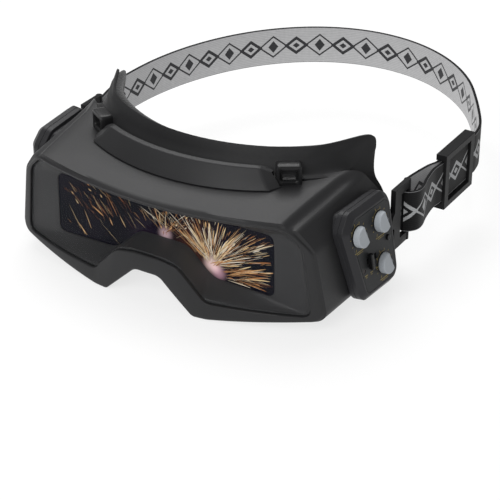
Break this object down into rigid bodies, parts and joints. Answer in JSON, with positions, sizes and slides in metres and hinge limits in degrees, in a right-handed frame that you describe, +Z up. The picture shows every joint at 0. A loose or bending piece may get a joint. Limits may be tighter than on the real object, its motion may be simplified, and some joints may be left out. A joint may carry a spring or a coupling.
{
  "type": "welding goggles",
  "caption": "Auto-darkening welding goggles: bowed shell with a wide recessed window, side control pod with knobs, face seal and adjustable head strap.",
  "frame": {"origin": "under the middle of the whole object, level with the surface it rests on", "axes": "+X to the wearer's left, +Y back past the head, +Z up"},
  "size_m": [0.2294, 0.288, 0.083],
  "materials": {
    "shell_black": "fine satin moulding",
    "bezel_black": "semi-gloss moulding",
    "clear_lens": "clear polycarbonate",
    "inner_black": "matt moulding",
    "dark_filter": "dark coated glass",
    "sensor_black": "gloss",
    "circuit_green": "solder mask",
    "flex_film": "polyimide film",
    "lead_red": "insulated wire",
    "seal_rubber": "soft moulded rubber",
    "face_foam": "soft foam with knitted face",
    "pod_black": "satin moulding",
    "panel_black": "fine texture with printed scales",
    "led_red": "clear red lens",
    "knob_grey": "satin grey moulding",
    "button_black": "matt",
    "screw_steel": "dark plated",
    "cell_steel": "bright steel",
    "contact_brass": "sprung brass",
    "buckle_black": "satin moulding",
    "strap_webbing": "woven elastic, black outside and grey inside"
  },
  "bodies": {
    "goggle": {"front_shell": "shell_black", "vent_hood": "shell_black", "clip_sockets": "shell_black", "lens_bezel": "bezel_black", "filter_housing": "inner_black", "uv_ir_filter": "dark_filter", "lcd_cell": "dark_filter", "back_glass": "dark_filter", "inner_cover_lens": "clear_lens", "inner_lens_frame": "inner_black", "arc_sensors": "sensor_black", "filter_board": "circuit_green", "flex_cable": "flex_film", "battery_lead": "lead_red", "seal_frame": "inner_black", "face_seal": "seal_rubber", "seal_hooks": "inner_black", "face_foam": "face_foam", "control_pod_base": "pod_black", "control_panel": "panel_black", "control_board": "circuit_green", "potentiometers": "sensor_black", "slide_switch_body": "sensor_black", "tact_switch": "sensor_black", "status_led": "led_red", "control_pod_screws": "screw_steel", "battery_pod_base": "pod_black", "coin_cells": "cell_steel", "battery_contacts": "contact_brass", "battery_pod_screws": "screw_steel"},
    "cover_lens": {"outer_cover_lens": "clear_lens"},
    "knob_shade_body": {"knob_shade": "knob_grey"},
    "knob_sensitivity_body": {"knob_sensitivity": "knob_grey"},
    "knob_delay_body": {"knob_delay": "knob_grey"},
    "mode_lever_body": {"mode_lever": "button_black"},
    "test_button_body": {"test_button": "button_black"},
    "battery_cover_body": {"battery_cover": "panel_black"},
    "strap_set": {"strap_bracket_right": "buckle_black", "strap_bracket_left": "buckle_black", "strap_main": "strap_webbing", "strap_return": "strap_webbing"},
    "strap_slider_body": {"strap_slider": "buckle_black"}
  },
  "joints": [
    {"name": "cover_lens_pull", "type": "slide", "parent": "goggle", "child": "cover_lens", "axis": [0, -1, 0], "range_m": [0, 0.03]},
    {"name": "knob_shade_turn", "type": "hinge", "parent": "goggle", "child": "knob_shade_body", "pos_m": [0.10377, -0.09732, 0.05042], "axis": [0.9836, -0.0688, 0.1668], "range_deg": [-135, 135]},
    {"name": "knob_sensitivity_turn", "type": "hinge", "parent": "goggle", "child": "knob_sensitivity_body", "pos_m": [0.1052, -0.07687, 0.05042], "axis": [0.9836, -0.0688, 0.1668], "range_deg": [-135, 135]},
    {"name": "knob_delay_turn", "type": "hinge", "parent": "goggle", "child": "knob_delay_body", "pos_m": [0.10917, -0.07765, 0.02666], "axis": [0.9836, -0.0688, 0.1668], "range_deg": [-135, 135]},
    {"name": "mode_lever_slide", "type": "slide", "parent": "goggle", "child": "mode_lever_body", "axis": [0.0698, 0.9976, 0], "range_m": [0, 0.006]},
    {"name": "test_button_press", "type": "slide", "parent": "goggle", "child": "test_button_body", "axis": [-0.9836, 0.0688, -0.1668], "range_m": [0, 0.0008], "stiffness_N_per_m": 300},
    {"name": "battery_cover_lift", "type": "slide", "parent": "goggle", "child": "battery_cover_body", "axis": [-0.9836, -0.0688, 0.1668], "range_m": [0, 0.02]},
    {"name": "strap_swivel", "type": "hinge", "parent": "goggle", "child": "strap_set", "pos_m": [0, -0.054, 0.04], "axis": [1, 0, 0], "range_deg": [-18, 18]},
    {"name": "strap_slider_slide", "type": "slide", "parent": "strap_set", "child": "strap_slider_body", "axis": [0, 1, 0], "range_m": [0, 0.007]}
  ]
}
